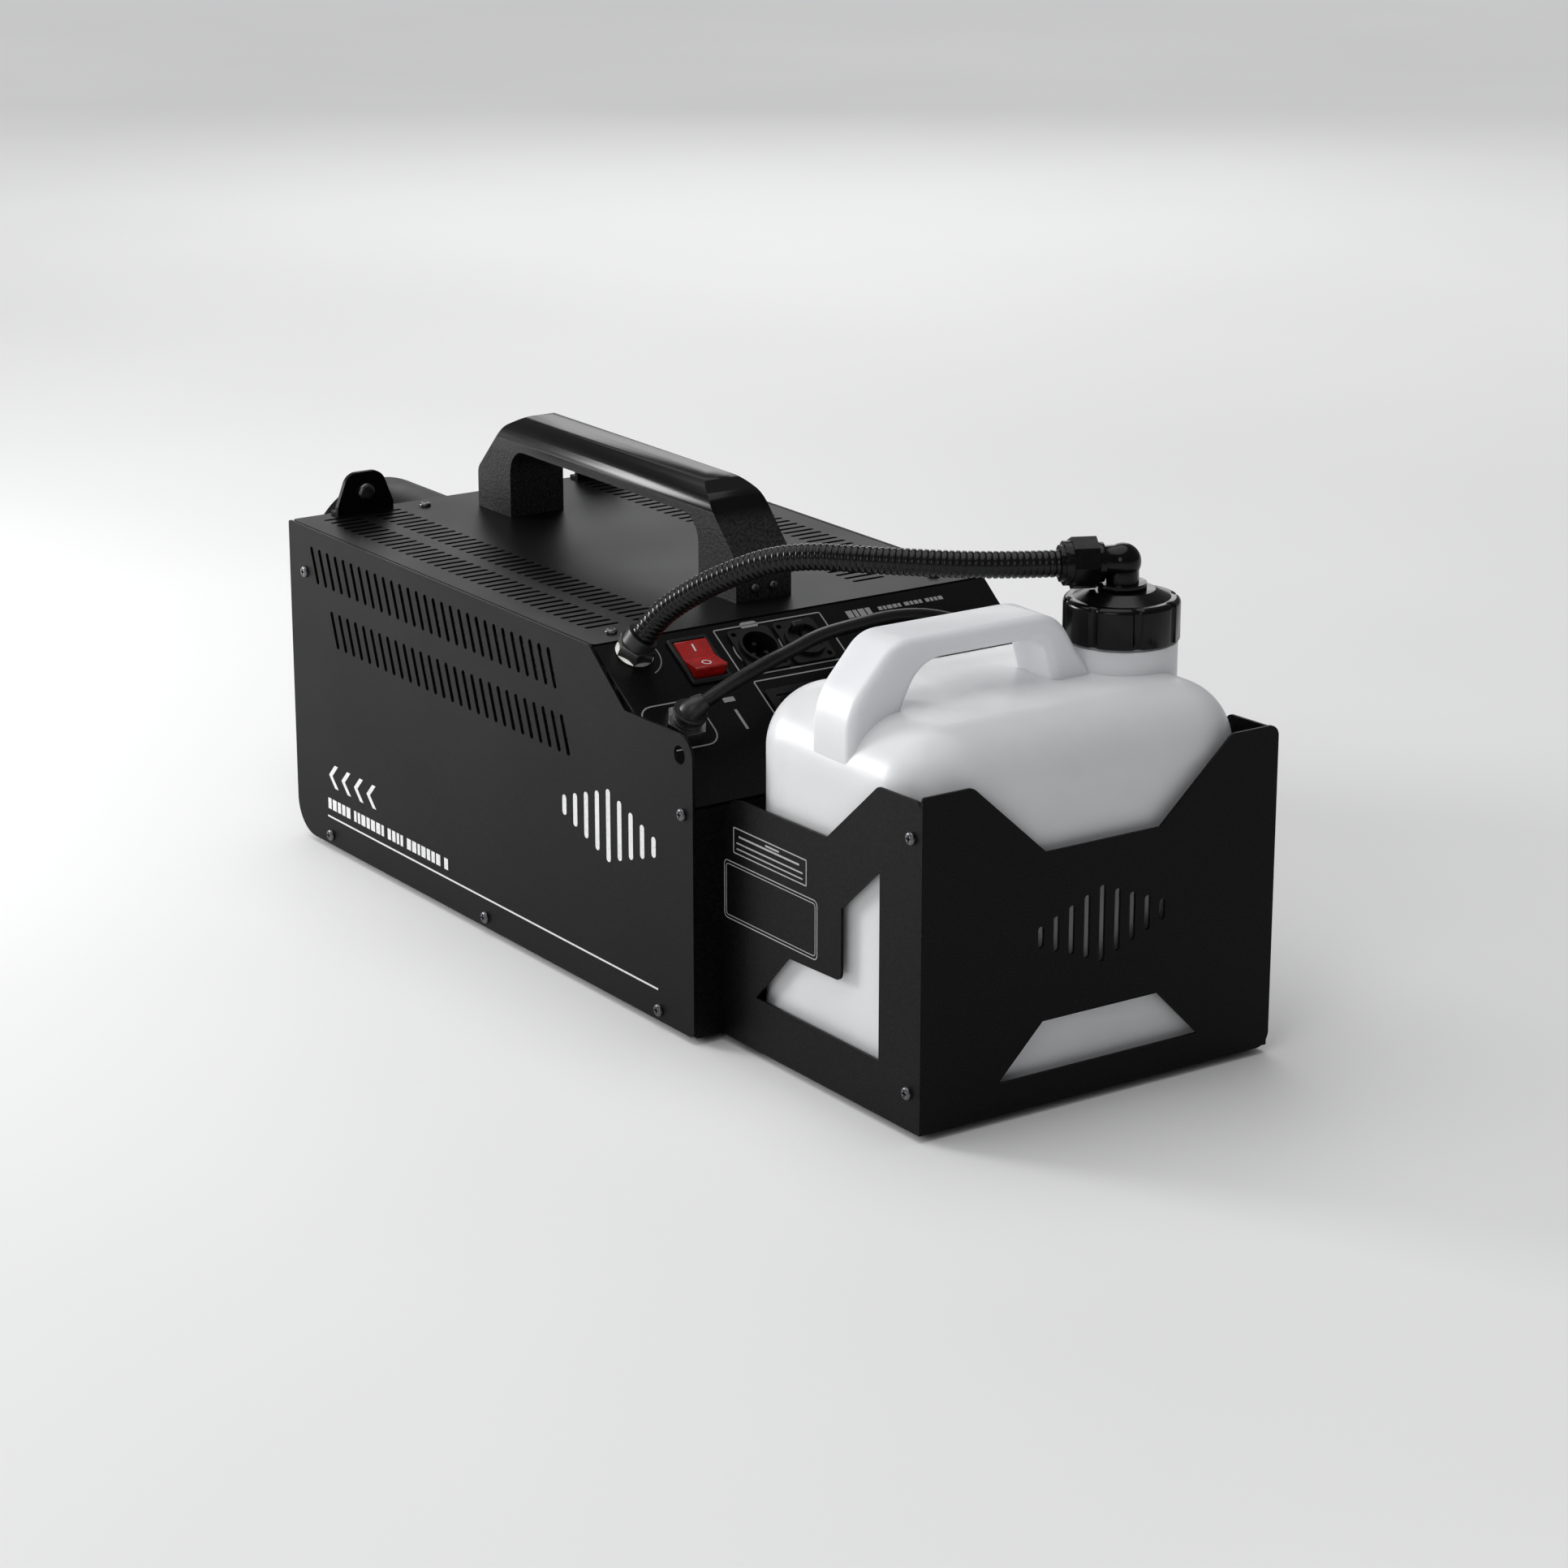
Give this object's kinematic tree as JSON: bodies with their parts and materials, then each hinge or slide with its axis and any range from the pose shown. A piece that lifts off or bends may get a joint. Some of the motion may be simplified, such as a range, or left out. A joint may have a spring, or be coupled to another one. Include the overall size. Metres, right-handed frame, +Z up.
{
  "type": "fog machine",
  "caption": "Black sheet-metal fog machine with a round nozzle hood, a carry handle, a sloped control panel and a white fluid jug in a rear basket.",
  "frame": {"origin": "centre of the footprint on the floor, halfway between the hood's mouth and the basket's end", "axes": "+Z up, +X from the nozzle hood towards the jug, +Y across the housing towards the filler cap's side"},
  "size_m": [0.728, 0.3737, 0.262],
  "materials": {
    "black_powder_coat": "fine-textured black powder coat",
    "handle_plastic": "stippled black",
    "screw_steel": "blackened steel",
    "foot_rubber": "matt",
    "lead_rubber": "smooth black sheath",
    "nozzle_brass": "turned",
    "heater_alloy": "as cast",
    "bright_sheet": "zinc plated",
    "pump_body": "potted coil",
    "feed_tube": "milky PTFE tube",
    "board_green": "soldermask",
    "post_brass": "hexagonal stand-offs",
    "core_iron": "laminated",
    "switch_black": "moulded",
    "rocker_red": "red",
    "socket_black": "moulded",
    "latch_plastic": "moulded",
    "window_dark": "smoked",
    "button_grey": "matt",
    "gland_nickel": "nickel plated",
    "gland_black": "moulded nylon",
    "jug_white": "translucent natural polyethylene",
    "cap_black": "satin moulded",
    "hose_black": "corrugated",
    "tube_clear": "milky tube"
  },
  "bodies": {
    "housing": {"base_tray": "black_powder_coat", "basket_end": "black_powder_coat", "basket_floor": "black_powder_coat", "basket_side_left": "black_powder_coat", "basket_side_right": "black_powder_coat", "board_posts": "post_brass", "carry_handle": "handle_plastic", "case_screws": "screw_steel", "control_panel": "black_powder_coat", "data_socket_in": "socket_black", "data_socket_out": "socket_black", "display_bezel": "switch_black", "display_board": "board_green", "display_window": "window_dark", "feed_tubes": "feed_tube", "fluid_hose": "hose_black", "fog_hood": "black_powder_coat", "front_panel": "black_powder_coat", "fuse_holder": "socket_black", "handle_screws": "screw_steel", "heat_shield": "bright_sheet", "heater_left": "heater_alloy", "heater_posts": "bright_sheet", "heater_right": "heater_alloy", "hose_gland": "gland_nickel", "lead_coil": "lead_rubber", "lead_gland": "gland_black", "lead_tie": "gland_black", "lug_bolts": "screw_steel", "lug_bracket_left": "black_powder_coat", "lug_bracket_right": "black_powder_coat", "main_board": "board_green", "mains_lead": "lead_rubber", "mains_plug": "lead_rubber", "nozzle_left": "nozzle_brass", "nozzle_right": "nozzle_brass", "pump_bracket": "bright_sheet", "pump_inner": "pump_body", "pump_outer": "pump_body", "rear_wall": "black_powder_coat", "rubber_feet": "foot_rubber", "side_panel_left": "black_powder_coat", "side_panel_right": "black_powder_coat", "switch_housing": "switch_black", "thermostats": "bright_sheet", "top_cover": "black_powder_coat", "transformer": "core_iron"},
    "rocker": {"switch_rocker": "rocker_red"},
    "latch": {"socket_latch": "latch_plastic"},
    "button_1": {"menu_button_1": "button_grey"},
    "button_2": {"menu_button_2": "button_grey"},
    "button_3": {"menu_button_3": "button_grey"},
    "button_4": {"menu_button_4": "button_grey"},
    "fuse_cap": {"fuse_cap": "socket_black"},
    "jug": {"jug": "jug_white", "elbow": "cap_black", "pickup_tube": "tube_clear"},
    "cap": {"jug_cap": "cap_black"},
    "union_nut": {"hose_nut": "cap_black"}
  },
  "joints": [
    {"name": "rocker_tilt", "type": "hinge", "parent": "housing", "child": "rocker", "pos_m": [0.11196, -0.0725, 0.17862], "axis": [0, 1, 0], "range_deg": [0, 20]},
    {"name": "latch_press", "type": "slide", "parent": "housing", "child": "latch", "axis": [-0.5408, 0, -0.8412], "range_m": [0, 0.001], "stiffness_N_per_m": 400},
    {"name": "button_1_press", "type": "slide", "parent": "housing", "child": "button_1", "axis": [-0.5408, 0, -0.8412], "range_m": [0, 0.0008], "stiffness_N_per_m": 500},
    {"name": "button_2_press", "type": "slide", "parent": "housing", "child": "button_2", "axis": [-0.5408, 0, -0.8412], "range_m": [0, 0.0008], "stiffness_N_per_m": 500},
    {"name": "button_3_press", "type": "slide", "parent": "housing", "child": "button_3", "axis": [-0.5408, 0, -0.8412], "range_m": [0, 0.0008], "stiffness_N_per_m": 500},
    {"name": "button_4_press", "type": "slide", "parent": "housing", "child": "button_4", "axis": [-0.5408, 0, -0.8412], "range_m": [0, 0.0008], "stiffness_N_per_m": 500},
    {"name": "fuse_cap_turn", "type": "hinge", "parent": "housing", "child": "fuse_cap", "pos_m": [0.147, 0.06, 0.15729], "axis": [0.5408, 0, 0.8412], "range_deg": [0, 60]},
    {"name": "jug_lift", "type": "slide", "parent": "housing", "child": "jug", "axis": [0, 0, 1], "range_m": [0, 0.04], "deforming": ["fluid_hose"]},
    {"name": "cap_turn", "type": "hinge", "parent": "jug", "child": "cap", "pos_m": [0.283, 0.073, 0.215], "axis": [0, 0, 1], "range_deg": [0, 540]},
    {"name": "union_nut_turn", "type": "hinge", "parent": "jug", "child": "union_nut", "pos_m": [0.283, 0.073, 0.2484], "axis": [-0.4352, -0.9003, 0], "range_deg": [-540, 0]}
  ]
}
